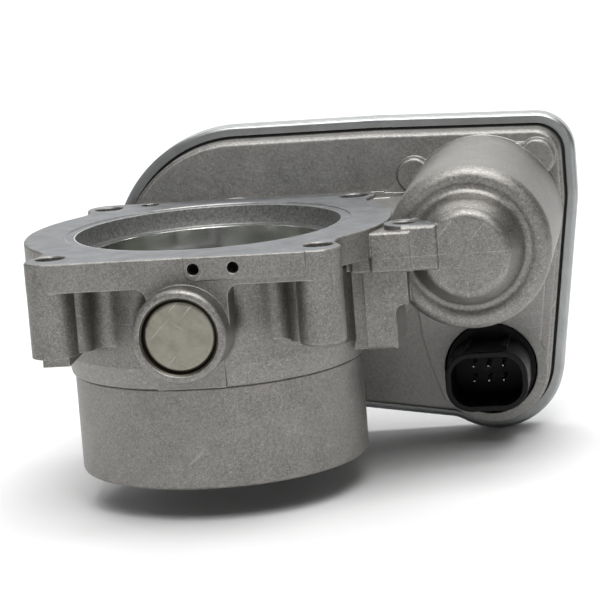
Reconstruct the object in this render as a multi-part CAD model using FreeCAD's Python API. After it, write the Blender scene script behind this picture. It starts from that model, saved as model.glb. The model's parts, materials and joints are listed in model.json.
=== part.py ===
import FreeCAD, Part
import math
import os

# Electronic throttle body, in millimetres.
# Origin: on the bore axis, in the flange's mounting face. +Z: out of the flange, towards the manifold.
# +Y: along the throttle shaft, towards the gear case. +X: towards the motor.

V = FreeCAD.Vector
UP = V(0, 0, 1)
BACK = V(0, 1, 0)
RIGHT = V(1, 0, 0)

# ---------------------------------------------------------------- driving dimensions
# Air passage
THROAT_R = 37.0
REGISTER_R = 41.0            # counterbore that locates the manifold's O-ring spigot
REGISTER_DEPTH = 6.3
MOUTH_R = 44.0               # shallow lead-in round the counterbore
MOUTH_DEPTH = 0.35
INLET_R = 41.5               # throat opened out at the air inlet
INLET_TAPER_TOP = -52.0
SPIGOT_R = 44.5              # hose spigot
SPIGOT_BOTTOM = -72.5
BODY_R = 46.8
BODY_SHOULDER = -35.0
SEAM_Z = -41.3
SEAM_R = 45.4

# Flange and its four columns
FLANGE_R = 56.7
FLANGE_T = 8.8
FRONT_Y = -56.5
FLANGE_BACK_Y = 53.5
BOLT_X = 40.0
BOLT_Y = 46.0
BOLT_HOLE_R = 4.5
BOLT_CHAMFER = 0.4
LUG_R = 7.0
LUG_BLEND = 12.0
COLUMN_R = 6.9
COLUMN_BOTTOM = -28.5
WEB_REACH = 55.0             # the web that joins each column to the barrel
WEB_R = 5.0
WEB_BLEND = 4.5

# Throttle shaft
SHAFT_Z = -22.0
SHAFT_R = 5.0
RUNNING = 0.05               # radial clearance of turning fits
BOSS_R = 13.9
BOSS_FRONT_Y = -65.0
BOSS_ROOT = 5.0              # rounding where the boss meets the barrel
PLUG_BORE_R = 11.1
PLUG_SEAT_Y = -57.0
NEEDLE_BORE_R = 8.0
NEEDLE_END_Y = -46.0
SEAL_T = 4.0
REAR_SEAL_Y = 45.0
REAR_BEARING_R = 11.0
REAR_BEARING_W = 6.0
REAR_BOSS_R = 21.5           # round the return spring
REAR_BOSS_Y = 49.4           # clear of a hose on the spigot
REAR_NECK_R = 19.0           # round the shaft, all of it above the seam

# Gear case
CASE_FRONT_Y = 57.0
WALL = 3.5
FLOOR_Y = CASE_FRONT_Y + WALL
CASE_END_Y = 73.4
LOBE_X = 80.2                # round corner of the case behind the connector
LOBE_Z = -60.7
LOBE_R = 19.45
HOLLOW_R = 12.0              # hollow between the lobe and the case's sloping lower edge
HOLLOW_ANGLE = math.radians(238.7)
# Circles that the lid's inside outline wraps: x, z, radius (negative where the outline is hollow)
CASE_CIRCLES = [
    (0.0, SHAFT_Z, 40.7),
    (45.0, -20.0, 38.75),
    (97.7, 7.8, 9.5),
    (77.3, -5.0, 30.0),
    (LOBE_X, LOBE_Z, LOBE_R),
    (LOBE_X + (LOBE_R + HOLLOW_R) * math.cos(HOLLOW_ANGLE),
     LOBE_Z + (LOBE_R + HOLLOW_R) * math.sin(HOLLOW_ANGLE), -HOLLOW_R),
    (3.0, SHAFT_Z, 43.7),
]

# Lid
LID_PROUD = 3.2
LID_LIP_Y = 66.8
LID_RIM_Y = 76.0
LID_PANEL_Y = 80.2
LID_T = 2.2
SEAL_GAP = 0.9               # the case's wall stands this far inside the lid's lip
PANEL_INSET = 2.2

# Motor
MOTOR_X = 80.5
MOTOR_Z = -9.8
SHELL_R = 25.2
SHELL_FRONT_Y = -9.9
MOTOR_BORE_R = 21.4
MOTOR_BORE_Y = -4.0
CAN_FRONT_Y = MOTOR_BORE_Y + 2.6
NOSE_FRONT_Y = CAN_FRONT_Y - 8.5
DOME_FRONT_Y = -20.5
RIDGE_ROUND = 3.9            # rounding of the ring round the motor shell's front
RIDGE_R = SHELL_R - RIDGE_ROUND

# Gears (module 1 all round)
MODULE = 1.0
PRESSURE = math.radians(20.0)
BACKLASH = 0.12
SECTOR_TEETH = 70
IDLER_PINION_TEETH = 16
IDLER_WHEEL_TEETH = 66
MOTOR_PINION_TEETH = 12
PINION_SHIFT = 0.25          # addendum shift that keeps the small pinions from undercutting
SECTOR_Y = (63.5, 69.5)
WHEEL_Y = (70.0, 75.0)
SECTOR_SPAN = (-13.0, 102.0)  # degrees, at the closed stop

# Bolt lug on the bracket arm
EYE_X = 62.2
EYE_Y = -14.6
EYE_HOLE_R = 3.3
EYE_HOLE_DEPTH = 13.0
ARM_BOTTOM = -13.9

# Connector
CONN_X = 79.7
CONN_Z = -60.6
CONN_HOLE_R = 15.05
CONN_FRONT_Y = 34.0
CONN_HALF_W = 13.2
CONN_HALF_H = 9.7
CONN_CORNER_R = 8.2
CONN_WALL = 1.8
PIN_PITCH_X = 4.8
PIN_PITCH_Z = 4.8
PIN_SIDE = 1.0
PIN_TIP_Y = 47.0

CLOSED_TILT = 6.0            # the plate's angle from square across the bore when closed
PLATE_T = 2.0
PLATE_R = THROAT_R - 0.07


# ---------------------------------------------------------------- helpers
def cyl_z(r, z0, z1, x=0.0, y=0.0):
    return Part.makeCylinder(r, z1 - z0, V(x, y, z0), UP)


def cyl_y(r, y0, y1, x=0.0, z=0.0):
    return Part.makeCylinder(r, y1 - y0, V(x, y0, z), BACK)


def tube_y(r_out, r_in, y0, y1, x=0.0, z=0.0):
    return cyl_y(r_out, y0, y1, x, z).cut(cyl_y(r_in, y0 - 1, y1 + 1, x, z))


def block(x0, x1, y0, y1, z0, z1):
    return Part.makeBox(x1 - x0, y1 - y0, z1 - z0, V(x0, y0, z0))


def fuse(shapes):
    whole = shapes[0]
    for shape in shapes[1:]:
        whole = whole.fuse(shape)
    return whole.removeSplitter()


def turned_y(points, x, z):
    """A solid turned about the line through (x, z) along Y, from (radius, y) points."""
    ring = [V(x + r, y, z) for r, y in points]
    face = Part.Face(Part.makePolygon(ring + [ring[0]]))
    return face.revolve(V(x, 0, z), BACK, 360)


def prism_y(points, y0, y1):
    """A prism along Y from (x, z) points."""
    ring = [V(x, y0, z) for x, z in points]
    return Part.Face(Part.makePolygon(ring + [ring[0]])).extrude(V(0, y1 - y0, 0))


def prism_z(points, z0, z1):
    """A prism along Z from (x, y) points."""
    ring = [V(x, y, z0) for x, y in points]
    return Part.Face(Part.makePolygon(ring + [ring[0]])).extrude(V(0, 0, z1 - z0))


def polar(x, z, r, degrees):
    a = math.radians(degrees)
    return (x + r * math.cos(a), z + r * math.sin(a))


def tangent_normal(a, b):
    """Unit normal of the outer line that runs from circle a to circle b, clockwise seen from the front."""
    dx = b[0] - a[0]
    dz = b[1] - a[1]
    far = math.hypot(dx, dz)
    ux, uz = dx / far, dz / far
    along = (a[2] - b[2]) / far
    across = math.sqrt(max(0.0, 1.0 - along * along))
    return (along * ux - across * uz, along * uz + across * ux)


def case_wire(grow, y):
    """The gear case's outline, moved outwards by grow, in the plane at y."""
    rings = [(x, z, r + grow) for x, z, r in CASE_CIRCLES]
    count = len(rings)
    normals = [tangent_normal(rings[i], rings[(i + 1) % count]) for i in range(count)]
    edges = []
    for i, (x, z, r) in enumerate(rings):
        before = normals[i - 1]
        after = normals[i]
        mid = (before[0] + after[0], before[1] + after[1])
        size = math.hypot(*mid)
        start = V(x + r * before[0], y, z + r * before[1])
        middle = V(x + r * mid[0] / size, y, z + r * mid[1] / size)
        end = V(x + r * after[0], y, z + r * after[1])
        edges.append(Part.Arc(start, middle, end).toShape())
        nx, nz, nr = rings[(i + 1) % count]
        following = V(nx + nr * after[0], y, nz + nr * after[1])
        if following.distanceToPoint(end) > 0.01:
            edges.append(Part.makeLine(end, following))
    return Part.Wire(Part.__sortEdges__(edges))


def case_prism(grow, y0, y1):
    return Part.Face(case_wire(grow, y0)).extrude(V(0, y1 - y0, 0))


def end_edges(shape, y):
    """The edges of a shape that lie in the plane at y."""
    return [e for e in shape.Edges if abs(e.BoundBox.YMin - y) < 0.01 and abs(e.BoundBox.YMax - y) < 0.01]


def level_edges(shape, z):
    """The edges of a shape that lie in the plane at z."""
    return [e for e in shape.Edges if abs(e.BoundBox.ZMin - z) < 0.01 and abs(e.BoundBox.ZMax - z) < 0.01]


def hull_y(x0, z0, r0, x1, z1, r1, y0, y1):
    """Two round ends and the straight sides that join them, along Y."""
    rings = [(x0, z0, r0), (x1, z1, r1)]
    n0 = tangent_normal(rings[0], rings[1])
    n1 = tangent_normal(rings[1], rings[0])
    corners = [(x0 + r0 * n0[0], z0 + r0 * n0[1]), (x1 + r1 * n0[0], z1 + r1 * n0[1]),
               (x1 + r1 * n1[0], z1 + r1 * n1[1]), (x0 + r0 * n1[0], z0 + r0 * n1[1])]
    return fuse([prism_y(corners, y0, y1), cyl_y(r0, y0, y1, x0, z0), cyl_y(r1, y0, y1, x1, z1)])


def lug(cx, cy, r, big_r, blend, z0, z1):
    """A round lug at (cx, cy) that flows into the circle big_r about the bore with hollow blends."""
    reach = math.hypot(cx, cy)
    heading = math.atan2(cy, cx)
    a, b = big_r + blend, r + blend
    swing = math.acos((a * a + reach * reach - b * b) / (2 * a * reach))
    hollows = []
    inner = []
    outer = []
    for side in (1, -1):
        angle = heading + side * swing
        hx, hy = a * math.cos(angle), a * math.sin(angle)
        hollows.append(cyl_z(blend, z0, z1, hx, hy))
        inner.append((hx * big_r / a, hy * big_r / a))
        outer.append((cx + (hx - cx) * r / b, cy + (hy - cy) * r / b))
    core = [inner[0], outer[0], (cx, cy), outer[1], inner[1], (0.5 * cx, 0.5 * cy)]
    body = prism_z(core, z0, z1)
    for hollow in hollows:
        body = body.cut(hollow)
    return body.fuse(cyl_z(r, z0, z1, cx, cy))


# ---------------------------------------------------------------- housing
def flange():
    parts = [cyl_z(FLANGE_R, -FLANGE_T, 0)]
    for sx in (-1, 1):
        for sy, edge in ((-1, -FRONT_Y), (1, FLANGE_BACK_Y)):
            lug_y = sy * (edge - LUG_R)
            parts.append(lug(sx * BOLT_X, lug_y, LUG_R, FLANGE_R, LUG_BLEND, -FLANGE_T, 0))
    parts.append(block(-BOLT_X, BOLT_X, FRONT_Y, -BOLT_Y, -FLANGE_T, 0))
    parts.append(block(-BOLT_X, BOLT_X, BOLT_Y, FLANGE_BACK_Y, -FLANGE_T, 0))
    plate = fuse(parts).common(block(-90, 90, FRONT_Y, FLANGE_BACK_Y, -FLANGE_T, 0))
    return plate.makeChamfer(0.4, level_edges(plate, 0))


def columns():
    """The four columns that the flange screws run down, their webs to the barrel, and a foot under one."""
    parts = []
    for sx in (-1, 1):
        for sy, edge in ((-1, -FRONT_Y), (1, FLANGE_BACK_Y)):
            x, y = sx * BOLT_X, sy * (edge - COLUMN_R)
            column = cyl_z(COLUMN_R, COLUMN_BOTTOM, -FLANGE_T + 1, x, y)
            if sx > 0:
                column = column.makeFillet(1.2, level_edges(column, COLUMN_BOTTOM))
            inward = WEB_REACH / math.hypot(x, y)
            web = lug(x * inward, y * inward, WEB_R, BODY_R, WEB_BLEND, COLUMN_BOTTOM, -FLANGE_T + 1)
            parts += [column, web]
    foot = block(-BOLT_X - 3.0, -BOLT_X + 5.0, -BOLT_Y - 8.0, -BOLT_Y + 12.0,
                 COLUMN_BOTTOM - 2.6, COLUMN_BOTTOM + 1)
    parts.append(foot)
    return parts


def barrel():
    body = cyl_z(BODY_R, BODY_SHOULDER, -FLANGE_T + 1)
    taper = Part.makeCone(SEAM_R, BODY_R, BODY_SHOULDER - SEAM_Z, V(0, 0, SEAM_Z), UP)
    spigot = cyl_z(SPIGOT_R, SPIGOT_BOTTOM, SEAM_Z + 1)
    spigot = spigot.makeFillet(1.2, level_edges(spigot, SPIGOT_BOTTOM))
    return [body, taper, spigot]


def front_boss():
    """The bearing boss, the wall that joins it to the flange, and the panel below it."""
    boss = cyl_y(BOSS_R, BOSS_FRONT_Y, -30, 0, SHAFT_Z)
    boss = boss.makeFillet(1.3, end_edges(boss, BOSS_FRONT_Y))
    root = cyl_z(BODY_R, -70, 30).fuse(cyl_y(BOSS_R, BOSS_FRONT_Y + 2, -30, 0, SHAFT_Z))
    meeting = [e for e in root.Edges if e.BoundBox.YMax < -40 and e.BoundBox.YMin > BOSS_FRONT_Y + 5
               and e.BoundBox.XLength > BOSS_R]
    root = root.makeFillet(BOSS_ROOT, meeting)
    root = root.common(block(-24, 24, BOSS_FRONT_Y, -38, BODY_SHOULDER, -FLANGE_T + 1))
    skirt = block(-10.5, 9.8, -47.8, -38, SEAM_Z + 0.4, SHAFT_Z)
    left, right, corner = -10.2, 13.9, 3.5
    hood = block(left, right, FRONT_Y, -38, SHAFT_Z, -FLANGE_T + 1)
    corners = []
    for edge, side in ((left, -1), (right, 1)):
        centre = edge + side * corner
        low, high = sorted((edge - side * 0.5, centre))
        piece = block(low, high, FRONT_Y, -38, -FLANGE_T - corner, -FLANGE_T + 1)
        corners.append(piece.cut(cyl_y(corner, FRONT_Y - 1, -37, centre, -FLANGE_T - corner)))
    return [boss, root, skirt, hood] + corners


def rear_boss():
    """The rear bearing boss and the ribs that tie the barrel to the gear case."""
    ribs = [block(x - 3, x + 3, 30, CASE_FRONT_Y + 1, SEAM_Z + 1, -FLANGE_T) for x in (-33, 31)]
    return ribs + [cyl_y(REAR_NECK_R, 30, CASE_FRONT_Y + 1, 0, SHAFT_Z),
                   cyl_y(REAR_BOSS_R, REAR_BOSS_Y, CASE_FRONT_Y + 1, 0, SHAFT_Z),
                   block(-42, 52, 44, CASE_FRONT_Y + 1, -FLANGE_T, -1.0)]


def gauge_pad():
    """Raised strip on the flange's front face with two small blind holes."""
    face_y = FRONT_Y - 0.9
    pad = block(1.6, 37.5, face_y, FRONT_Y + 2, -7.2, 0)
    pad = pad.makeFillet(3.2, [e for e in pad.Edges if e.BoundBox.YLength > 1 and e.BoundBox.ZMax < -7])
    return [pad.makeFillet(0.5, end_edges(pad, face_y))]


def gear_pan():
    pan = case_prism(-SEAL_GAP, CASE_FRONT_Y, CASE_END_Y)
    pan = pan.makeFillet(1.4, end_edges(pan, CASE_FRONT_Y))
    return pan


def motor_shell():
    """The motor's round housing: a tapered dome, a hollow ring and a rounded ridge, turned in one profile."""
    line = Part.makeLine
    y0 = DOME_FRONT_Y

    def at(r, y):
        return V(MOTOR_X + r, y, MOTOR_Z)

    ridge_y = SHELL_FRONT_Y + RIDGE_ROUND
    slope = math.radians(25.0)
    inner = at(RIDGE_R - RIDGE_ROUND * math.sin(slope), ridge_y - RIDGE_ROUND * math.cos(slope))
    edges = [line(at(0, y0), at(11.2, y0)),
             Part.Arc(at(11.2, y0), at(13.1, y0 + 0.9), at(13.8, y0 + 2.6)).toShape(),
             line(at(13.8, y0 + 2.6), at(17.1, -10.3)),
             Part.Arc(at(17.1, -10.3), at(18.24, -9.42), inner).toShape(),
             Part.Arc(inner, at(RIDGE_R, SHELL_FRONT_Y), at(SHELL_R, ridge_y)).toShape(),
             line(at(SHELL_R, ridge_y), at(SHELL_R + 0.1, CASE_FRONT_Y + 1)),
             line(at(SHELL_R + 0.1, CASE_FRONT_Y + 1), at(0, CASE_FRONT_Y + 1)),
             line(at(0, CASE_FRONT_Y + 1), at(0, y0))]
    face = Part.Face(Part.Wire(edges))
    return [face.revolve(V(MOTOR_X, 0, MOTOR_Z), BACK, 360)]


def screw_ears():
    """Bumps on the front wall over the motor's two screws, and the raised land round motor and connector."""
    ear_y = CASE_FRONT_Y - 4.5
    ears = [hull_y(59.0, 4.4, 5.6, 67.0, -4.0, 5.6, ear_y, CASE_FRONT_Y + 1),
            hull_y(98.8, 7.9, 5.9, 91.0, -1.0, 5.9, ear_y, CASE_FRONT_Y + 1)]
    ears = [ear.makeFillet(0.9, end_edges(ear, ear_y)) for ear in ears]
    flare = block(47.0, 58.0, ear_y + 1.2, CASE_FRONT_Y + 1, -3.0, 4.0).cut(cyl_y(6.4, 40, 70, 47.0, 5.2))
    land_y = CASE_FRONT_Y - 2.0
    land = case_prism(-4.8, land_y, CASE_FRONT_Y + 1).fuse(
        cyl_y(LOBE_R - 1.6, land_y, CASE_FRONT_Y + 1, LOBE_X, LOBE_Z))
    reach = prism_y([(57.0, 0.0), (57.0, -38.0), (58.5, -52.0), (61.4, -62.4), (64.5, -72.0), (70.0, -95.0),
                     (130.0, -95.0), (130.0, 30.0), (96.0, 30.0)], land_y - 1, CASE_FRONT_Y + 2)
    return ears + [flare, land.common(reach)]


def bracket_arm():
    """Arm between the flange and the motor shell, with a bolt lug, and the column under it."""
    low = ARM_BOTTOM
    arm = block(51.7, 64.5, -22.3, 0.0, low, -1.5)
    arm = arm.makeFillet(1.1, [e for e in arm.Edges if e.BoundBox.YMin < -22 and e.BoundBox.XMax < 64.4
                               or abs(e.BoundBox.ZMin + 1.5) < 0.01 and e.BoundBox.XMax < 64.4
                               or abs(e.BoundBox.YMax + 22.3) < 0.01])
    eye = cyl_z(6.2, low, 0.0, EYE_X, EYE_Y)
    lug_y = -21.7
    lug_block = block(EYE_X - 0.5, 72.4, lug_y, EYE_Y + 6.2, low, 0.0)
    lug_block = lug_block.makeFillet(1.5, [e for e in lug_block.Edges if abs(e.BoundBox.YMax - lug_y) < 0.01
                                           and e.BoundBox.XMax > EYE_X])
    ledge = block(45.6, 52.5, -20.5, 0.0, low, -8.0)
    ledge = ledge.makeFillet(0.8, end_edges(ledge, -20.5))
    neck = block(43.0, 52.5, -16.0, 0.0, low, -1.0)
    web = block(40.0, 66.0, -6.0, CASE_FRONT_Y + 1, -24.8, -1.2)
    front_web = block(48.6, 62.0, -15.9, 0.0, -24.8, -1.6)
    column = block(48.6, 57.8, -16.0, 12.0, -38.5, -10.0)
    column = column.makeFillet(2.0, [e for e in column.Edges if abs(e.BoundBox.YMax + 16.0) < 0.01
                                     and (e.BoundBox.XMin > 57 or e.BoundBox.ZMax < -38)])
    hollow = block(57.0, 60.8, -15.9, 0.0, -27.8, -24.0).cut(cyl_y(3.0, -20, 5, 60.8, -27.8))
    tie = block(38.0, 52.0, -13.0, 12.0, -38.5, -10.0)
    return [arm, eye, lug_block, ledge, neck, web, front_web, column, hollow, tie]


def case_inside():
    """Bosses that stand on the case floor: idler pin, closed stop, open stop."""
    ix, iz = idler_centre()
    idler_boss = cyl_y(6.0, FLOOR_Y - 1, 62.2, ix, iz)
    tip, heading = stop_tip()
    centre = (tip[0] + 9.5 * heading[0], tip[1] + 9.5 * heading[1])
    stop_boss = hull_y(centre[0] - 2 * heading[0], centre[1] - 2 * heading[1], 3.8,
                       centre[0] + 2 * heading[0], centre[1] + 2 * heading[1], 3.8, FLOOR_Y - 1, 70.0)
    stop_boss = stop_boss.common(case_prism(-1.0, FLOOR_Y - 1, 72))
    px, pz = polar(0, SHAFT_Z, 29.0, -105.0)
    open_stop = cyl_y(3.0, FLOOR_Y - 1, 69.0, px, pz)
    return [idler_boss, stop_boss, open_stop]


def passages():
    """Everything that is bored or milled out of the casting."""
    cuts = [cyl_z(THROAT_R, SPIGOT_BOTTOM - 1, 1)]
    cuts.append(cyl_z(REGISTER_R, -REGISTER_DEPTH, 1))
    cuts.append(cyl_z(MOUTH_R, -MOUTH_DEPTH, 1))
    taper = INLET_TAPER_TOP - SPIGOT_BOTTOM
    cuts.append(Part.makeCone(INLET_R, THROAT_R, taper, V(0, 0, SPIGOT_BOTTOM), UP))
    for sx in (-1, 1):
        for sy in (-1, 1):
            cuts.append(cyl_z(BOLT_HOLE_R, -60, 1, sx * BOLT_X, sy * BOLT_Y))
            cuts.append(Part.makeCone(BOLT_HOLE_R + BOLT_CHAMFER + 0.5, BOLT_HOLE_R, BOLT_CHAMFER + 0.5,
                                      V(sx * BOLT_X, sy * BOLT_Y, 0.5), V(0, 0, -1)))
    cuts.append(cyl_z(3.0, -5.0, 1, -27.0, 49.5))
    cuts.append(cyl_z(EYE_HOLE_R, -EYE_HOLE_DEPTH, 1, EYE_X, EYE_Y))
    cuts.append(Part.makeCone(EYE_HOLE_R + 0.5, EYE_HOLE_R, 0.5, V(EYE_X, EYE_Y, 0.2), V(0, 0, -1)))
    cuts.append(Part.makeTorus(SPIGOT_R + 0.2, 0.5, V(0, 0, SEAM_Z - 0.3), UP))
    for x in (4.5, 16.2):
        cuts.append(cyl_y(1.75, FRONT_Y - 2, FRONT_Y + 11, x, -3.6))
    cuts += shaft_bores()
    cuts += motor_bores()
    cuts.append(cyl_y(CONN_HOLE_R, CASE_FRONT_Y - 5, FLOOR_Y + 1, CONN_X, CONN_Z))
    return cuts


def shaft_bores():
    z = SHAFT_Z
    bores = [cyl_y(SHAFT_R + RUNNING, -60, 62, 0, z)]
    bores.append(cyl_y(NEEDLE_BORE_R, PLUG_SEAT_Y - 1, NEEDLE_END_Y + SEAL_T, 0, z))
    bores.append(cyl_y(PLUG_BORE_R, BOSS_FRONT_Y - 1, PLUG_SEAT_Y, 0, z))
    bores.append(Part.makeCone(PLUG_BORE_R + 1.4, PLUG_BORE_R - 0.1, 1.5, V(0, BOSS_FRONT_Y - 0.7, z), BACK))
    bores.append(cyl_y(NEEDLE_BORE_R, REAR_SEAL_Y, FLOOR_Y, 0, z))
    bores.append(cyl_y(REAR_BEARING_R, FLOOR_Y - REAR_BEARING_W, FLOOR_Y + 1, 0, z))
    pocket = tube_y(19.0, 12.6, 51.0, FLOOR_Y + 1, 0, z)
    bores.append(pocket)
    return bores


def motor_bores():
    return [cyl_y(MOTOR_BORE_R, MOTOR_BORE_Y, FLOOR_Y + 1, MOTOR_X, MOTOR_Z),
            cyl_y(9.5, DOME_FRONT_Y + 4.5, MOTOR_BORE_Y + 1, MOTOR_X, MOTOR_Z),
            cyl_y(1.7, 55.0, FLOOR_Y + 1, 59.5, 3.2),
            cyl_y(1.7, 55.0, FLOOR_Y + 1, 98.3, 7.2)]


def housing():
    solids = [gear_pan(), flange()] + columns() + barrel() + front_boss() + rear_boss()
    solids += gauge_pad() + motor_shell() + screw_ears() + bracket_arm()
    casting = fuse(solids)
    casting = casting.cut(case_prism(-WALL, FLOOR_Y, CASE_END_Y + 1))
    casting = fuse([casting] + case_inside())
    for cutter in passages():
        casting = casting.cut(cutter)
    tip, heading = stop_tip()
    casting = casting.cut(screw_bar(tip, heading, 1.65, 0.0, 18.0))
    ix, iz = idler_centre()
    casting = casting.cut(cyl_y(3.0, FLOOR_Y - 2.8, 65, ix, iz))
    return casting.removeSplitter()


# ---------------------------------------------------------------- gear train
def idler_centre():
    """Where the idler meshes with both the sector and the motor pinion."""
    near = MODULE * (SECTOR_TEETH + IDLER_PINION_TEETH) / 2
    far = MODULE * (IDLER_WHEEL_TEETH + MOTOR_PINION_TEETH) / 2
    dx, dz = MOTOR_X, MOTOR_Z - SHAFT_Z
    span = math.hypot(dx, dz)
    along = (near * near - far * far + span * span) / (2 * span)
    across = math.sqrt(near * near - along * along)
    return (along * dx / span + across * dz / span, SHAFT_Z + along * dz / span - across * dx / span)


def heading_degrees(x0, z0, x1, z1):
    return math.degrees(math.atan2(z1 - z0, x1 - x0))


def involute(angle):
    return math.tan(angle) - angle


def tooth_half_angle(teeth, shift, r):
    """Half the angle that a tooth takes up at radius r."""
    pitch_r = MODULE * teeth / 2
    base_r = pitch_r * math.cos(PRESSURE)
    thick = MODULE * (math.pi / 2 + 2 * shift * math.tan(PRESSURE)) - BACKLASH / 2
    at_r = math.acos(min(1.0, base_r / r))
    return thick / (2 * pitch_r) + involute(PRESSURE) - involute(at_r)


def tooth_edges(teeth, shift, middle, x, z, y):
    """One tooth's edges round (x, z): a flank, the tip and the other flank, in rising angle."""
    pitch_r = MODULE * teeth / 2
    base_r = pitch_r * math.cos(PRESSURE)
    root_r = pitch_r - MODULE * (1.25 - shift)
    tip_r = pitch_r + MODULE * (0.97 + shift)
    start_r = max(base_r, root_r)
    steps = 4
    radii = [start_r + (tip_r - start_r) * i / steps for i in range(steps + 1)]

    def at(r, side):
        a = middle + side * tooth_half_angle(teeth, shift, max(r, base_r))
        return V(x + r * math.cos(a), y, z + r * math.sin(a))

    edges = []
    for side in (-1, 1):
        curve = Part.BSplineCurve()
        curve.interpolate([at(r, side) for r in radii])
        flank = [curve.toShape()]
        if root_r < base_r - 0.01:
            flank.insert(0, Part.makeLine(at(root_r, side), at(start_r, side)))
        edges.append(flank)
    crest = V(x + tip_r * math.cos(middle), y, z + tip_r * math.sin(middle))
    tip = Part.Arc(at(tip_r, -1), crest, at(tip_r, 1))
    return edges[0] + [tip.toShape()] + edges[1], at(root_r, -1), at(root_r, 1)


def toothed_disc(teeth, shift, first, x, z, y0, y1):
    """A full gear with a tooth centred at the angle first (degrees)."""
    pitch = 2 * math.pi / teeth
    root_r = MODULE * (teeth / 2 - 1.25 + shift)
    edges = []
    feet = []
    for i in range(teeth):
        tooth, low, high = tooth_edges(teeth, shift, math.radians(first) + i * pitch, x, z, y0)
        edges += tooth
        feet.append((low, high))
    for i in range(teeth):
        gap = math.radians(first) + (i + 0.5) * pitch
        middle = V(x + root_r * math.cos(gap), y0, z + root_r * math.sin(gap))
        edges.append(Part.Arc(feet[i][1], middle, feet[(i + 1) % teeth][0]).toShape())
    wire = Part.Wire(Part.__sortEdges__(edges))
    return Part.Face(wire).extrude(V(0, y1 - y0, 0))


def toothed_sector(teeth, shift, first, low, high, x, z, y0, y1):
    """The teeth of a gear between two angles (degrees), on a slice that runs in to the centre."""
    pitch = 360.0 / teeth
    root_r = MODULE * (teeth / 2 - 1.25 + shift)
    start = math.ceil((low - first) / pitch + 0.5)
    stop = math.floor((high - first) / pitch - 0.5)
    centre = V(x, y0, z)
    first_foot = V(x + root_r * math.cos(math.radians(low)), y0, z + root_r * math.sin(math.radians(low)))
    edges = [Part.makeLine(centre, first_foot)]
    last = first_foot
    last_angle = low
    for i in range(start, stop + 1):
        angle = first + i * pitch
        tooth, foot, other = tooth_edges(teeth, shift, math.radians(angle), x, z, y0)
        between = math.radians((last_angle + angle) / 2 - (pitch / 8 if i == start else 0.0))
        middle = V(x + root_r * math.cos(between), y0, z + root_r * math.sin(between))
        edges.append(Part.Arc(last, middle, foot).toShape())
        edges += tooth
        last = other
        last_angle = angle
    end = V(x + root_r * math.cos(math.radians(high)), y0, z + root_r * math.sin(math.radians(high)))
    between = math.radians((last_angle + high) / 2 + pitch / 8)
    middle = V(x + root_r * math.cos(between), y0, z + root_r * math.sin(between))
    edges.append(Part.Arc(last, middle, end).toShape())
    edges.append(Part.makeLine(end, centre))
    wire = Part.Wire(Part.__sortEdges__(edges))
    return Part.Face(wire).extrude(V(0, y1 - y0, 0))


def sector_gear():
    ix, iz = idler_centre()
    mesh = heading_degrees(0, SHAFT_Z, ix, iz)
    y0, y1 = SECTOR_Y
    low, high = SECTOR_SPAN
    gear = toothed_sector(SECTOR_TEETH, -PINION_SHIFT, mesh, low, high, 0, SHAFT_Z, y0, y1)
    gear = gear.fuse(cyl_y(16.0, y0, y1 + 0.2, 0, SHAFT_Z))
    window = tube_y(29.0, 19.0, y0 - 1, y1 + 1, 0, SHAFT_Z)
    for middle in (10.0, 45.0, 80.0):
        edge_a = polar(0, SHAFT_Z, 60, middle - 12)
        edge_b = polar(0, SHAFT_Z, 60, middle + 12)
        gear = gear.cut(window.common(prism_y([(0, SHAFT_Z), edge_a, edge_b], y0 - 2, y1 + 2)))
    gear = gear.cut(cyl_y(8.0, y0 + 1.9, y1 + 1, 0, SHAFT_Z))
    gear = gear.cut(cyl_y(4.4, y0 - 1, y1 + 1, 0, SHAFT_Z))
    tx, tz = polar(0, SHAFT_Z, 20.5, 112.0)
    tang = hull_y(tx, tz, 1.6, 0, SHAFT_Z, 8.8, y0 - 2.2, y0 + 0.6).cut(cyl_y(14.6, 50, 80, 0, SHAFT_Z))
    arm = hull_y(tx, tz, 2.2, 0, SHAFT_Z, 9.0, y0, y1 - 2.0).cut(cyl_y(15.0, 50, 80, 0, SHAFT_Z))
    return fuse([gear, tang, arm])


def sector_gear_insert():
    disc = cyl_y(13.5, 61.5, SECTOR_Y[0], 0, SHAFT_Z)
    return disc.cut(tenon(0.0, 60.0, 66.0))


def tenon(play, y0, y1):
    """The double-D end of the shaft."""
    round_bar = cyl_y(4.2 + play, y0, y1, 0, SHAFT_Z)
    return round_bar.common(block(-3.2 - play, 3.2 + play, y0, y1, SHAFT_Z - 5, SHAFT_Z + 5))


def sensor_magnet():
    return tube_y(7.9, 4.7, SECTOR_Y[0] + 2.0, SECTOR_Y[1], 0, SHAFT_Z)


def idler_gear():
    ix, iz = idler_centre()
    towards_sector = heading_degrees(ix, iz, 0, SHAFT_Z)
    towards_motor = heading_degrees(ix, iz, MOTOR_X, MOTOR_Z)
    half_gap = 180.0 / IDLER_PINION_TEETH
    pinion = toothed_disc(IDLER_PINION_TEETH, PINION_SHIFT, towards_sector + half_gap, ix, iz,
                          62.6, WHEEL_Y[0])
    wheel = toothed_disc(IDLER_WHEEL_TEETH, -PINION_SHIFT, towards_motor, ix, iz, *WHEEL_Y)
    hollow = tube_y(28.0, 12.0, WHEEL_Y[0] + 2.0, WHEEL_Y[1] + 1, ix, iz)
    wheel = wheel.cut(hollow)
    for i in range(6):
        hx, hz = polar(ix, iz, 20.0, 60.0 * i + 30.0)
        wheel = wheel.cut(cyl_y(4.5, 60, 80, hx, hz))
    hub = cyl_y(5.5, WHEEL_Y[1] - 0.5, WHEEL_Y[1] + 0.4, ix, iz)
    return fuse([pinion, wheel, hub]).cut(cyl_y(3.0 + RUNNING, 55, 85, ix, iz))


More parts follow.
